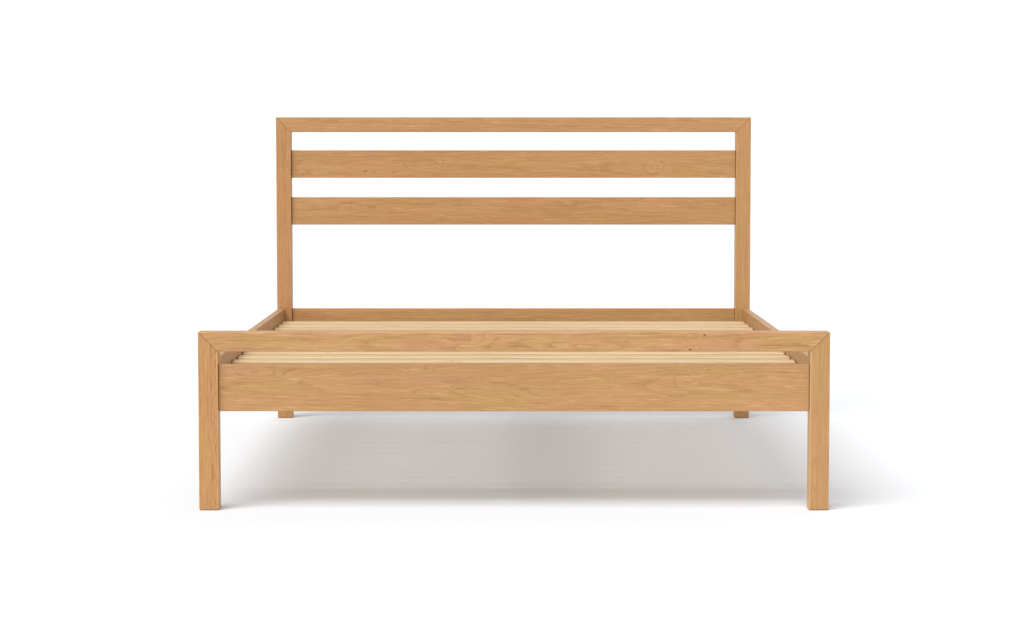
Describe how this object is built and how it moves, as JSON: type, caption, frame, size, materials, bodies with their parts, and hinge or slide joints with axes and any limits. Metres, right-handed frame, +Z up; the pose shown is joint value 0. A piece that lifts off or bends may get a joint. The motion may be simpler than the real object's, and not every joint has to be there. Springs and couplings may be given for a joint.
{
  "type": "wooden bed frame",
  "caption": "Queen-size oak bed frame: mitred head and foot frames, headboard boards, bolted side rails, slatted base on ledgers and a steel centre beam.",
  "frame": {"origin": "on the floor, at the middle of the bed's width and length", "axes": "+X across the bed towards the right side as seen from the foot, +Y from the foot end to the head end, +Z up"},
  "size_m": [1.6, 2.15, 1.018],
  "materials": {
    "oak": "satin clear lacquer over honey-brown oak",
    "pine": "planed, unfinished softwood",
    "beech": "plain, glued in",
    "black_steel": "fine-textured black powder coat",
    "zinc_steel": "bright zinc plating",
    "nylon": "matt moulded, dark brown",
    "felt": "pressed wool felt"
  },
  "bodies": {
    "root": {"headboard_post_left": "oak", "headboard_post_right": "oak", "headboard_top_rail": "oak", "headboard_board_upper": "oak", "headboard_board_lower": "oak", "headboard_bottom_rail": "oak", "footboard_leg_left": "oak", "footboard_leg_right": "oak", "footboard_top_rail": "oak", "footboard_bottom_rail": "oak", "side_rail_left": "oak", "side_rail_right": "oak", "ledger_left": "pine", "ledger_right": "pine", "slat_01": "pine", "slat_02": "pine", "slat_03": "pine", "slat_04": "pine", "slat_05": "pine", "slat_06": "pine", "slat_07": "pine", "slat_08": "pine", "slat_09": "pine", "slat_10": "pine", "slat_11": "pine", "slat_12": "pine", "slat_13": "pine", "slat_14": "pine", "slat_15": "pine", "headboard_mitre_keys": "beech", "footboard_mitre_keys": "beech", "rail_dowels": "beech", "bracket_foot_left": "black_steel", "bracket_foot_right": "black_steel", "bracket_head_left": "black_steel", "bracket_head_right": "black_steel", "centre_beam": "black_steel", "beam_hanger_foot": "black_steel", "beam_hanger_head": "black_steel", "bracket_bolts": "zinc_steel", "bracket_washers": "zinc_steel", "bracket_screws": "zinc_steel", "threaded_inserts": "zinc_steel", "hanger_screws": "zinc_steel", "ledger_screws": "zinc_steel", "slat_screws": "zinc_steel", "beam_cap_foot": "nylon", "beam_cap_head": "nylon", "foot_glides": "nylon", "beam_felt": "felt"}
  },
  "joints": []
}
